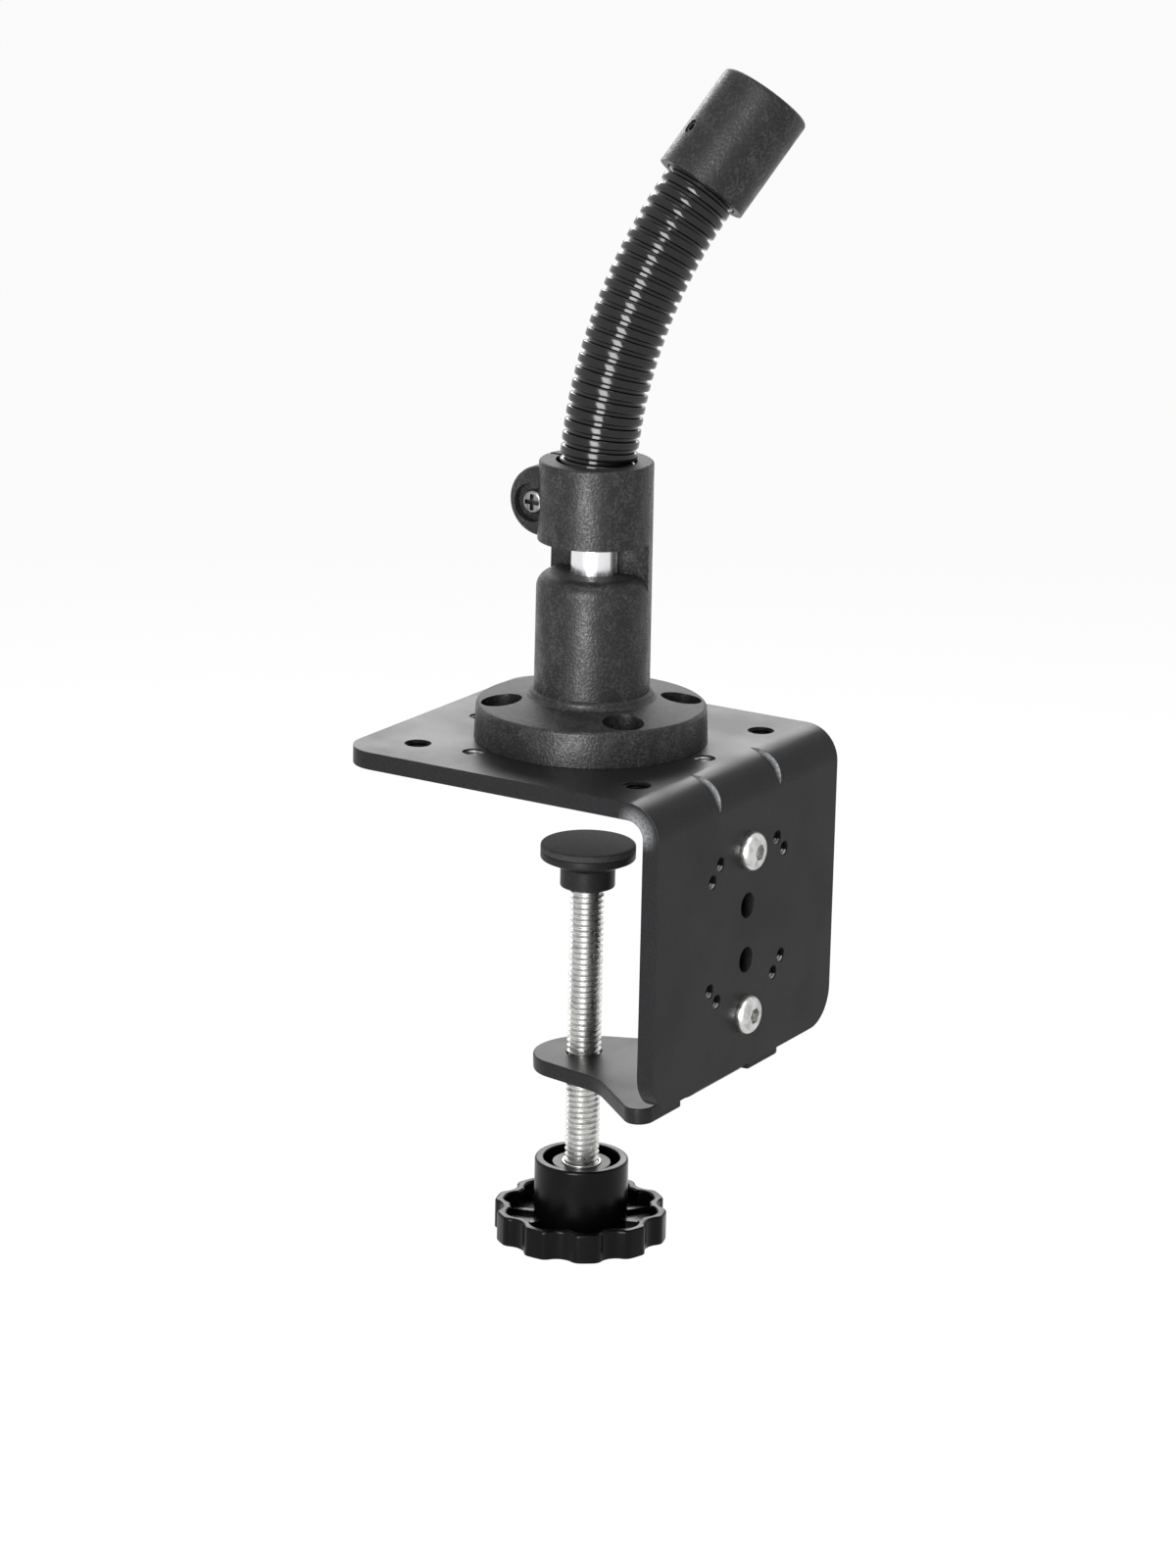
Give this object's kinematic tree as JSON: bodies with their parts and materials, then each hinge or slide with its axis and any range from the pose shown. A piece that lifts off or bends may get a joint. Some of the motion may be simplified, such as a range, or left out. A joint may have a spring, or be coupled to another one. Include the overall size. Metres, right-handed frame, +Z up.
{
  "type": "gooseneck clamp mount",
  "caption": "Desk-edge clamp with a folded black plate, hand-screw jaw, round base and split post holding a ribbed gooseneck with a threaded end socket.",
  "frame": {"origin": "on the clamp plate's underside, where it rests on the desk, on the axis of the post and the clamp screw", "axes": "+Z up along the post, +Y in over the desk, +X along the desk edge"},
  "size_m": [0.0965, 0.1029, 0.3207],
  "materials": {
    "powder_coat": "satin black powder coat with a very fine grain",
    "composite": "matte black moulded composite",
    "sleeve_black": "glossy black corrugated sleeve",
    "knob_black": "satin black moulded plastic",
    "rod_alloy": "drawn bright rod",
    "bright_steel": "bright zinc plate",
    "dark_steel": "black oxide",
    "cushion_rubber": "matte black rubber",
    "insert_brass": "turned brass"
  },
  "bodies": {
    "mount": {"clamp_bracket": "powder_coat", "lower_jaw": "powder_coat", "jaw_screws": "bright_steel", "jaw_nuts": "bright_steel", "flange_base": "composite", "flange_screws": "dark_steel", "post": "composite", "post_bolt": "bright_steel", "post_washer": "bright_steel", "ear_screw": "bright_steel", "ear_nut": "bright_steel"},
    "pad": {"pressure_pad": "powder_coat", "pad_cushion": "cushion_rubber"},
    "screw": {"clamp_screw": "bright_steel", "knob": "knob_black", "knob_insert": "bright_steel", "pad_retainer": "bright_steel"},
    "gooseneck": {"core_rod": "rod_alloy", "conduit": "sleeve_black"},
    "head": {"end_fitting": "composite", "end_set_screw": "dark_steel", "end_insert": "insert_brass"}
  },
  "joints": [
    {"name": "screw_feed", "type": "slide", "parent": "mount", "child": "pad", "axis": [0, 0, 1], "range_m": [-0.0395, 0.0215]},
    {"name": "screw_turn", "type": "hinge", "parent": "pad", "child": "screw", "pos_m": [0, 0, -0.1], "axis": [0, 0, 1], "range_deg": [-9000, 4950]},
    {"name": "gooseneck_swivel", "type": "hinge", "parent": "mount", "child": "gooseneck", "pos_m": [0, 0, 0.07], "axis": [0, 0, 1], "continuous": true},
    {"name": "gooseneck_bend", "type": "hinge", "parent": "gooseneck", "child": "head", "pos_m": [0.00594, -0.00416, 0.1133], "axis": [0.5736, 0.8192, 0], "range_deg": [-38, 30], "deforming": ["conduit", "core_rod"]}
  ],
  "couplings": [
    {"joint": "screw_turn", "follows": "screw_feed", "rad_per_m": 3957.9}
  ]
}
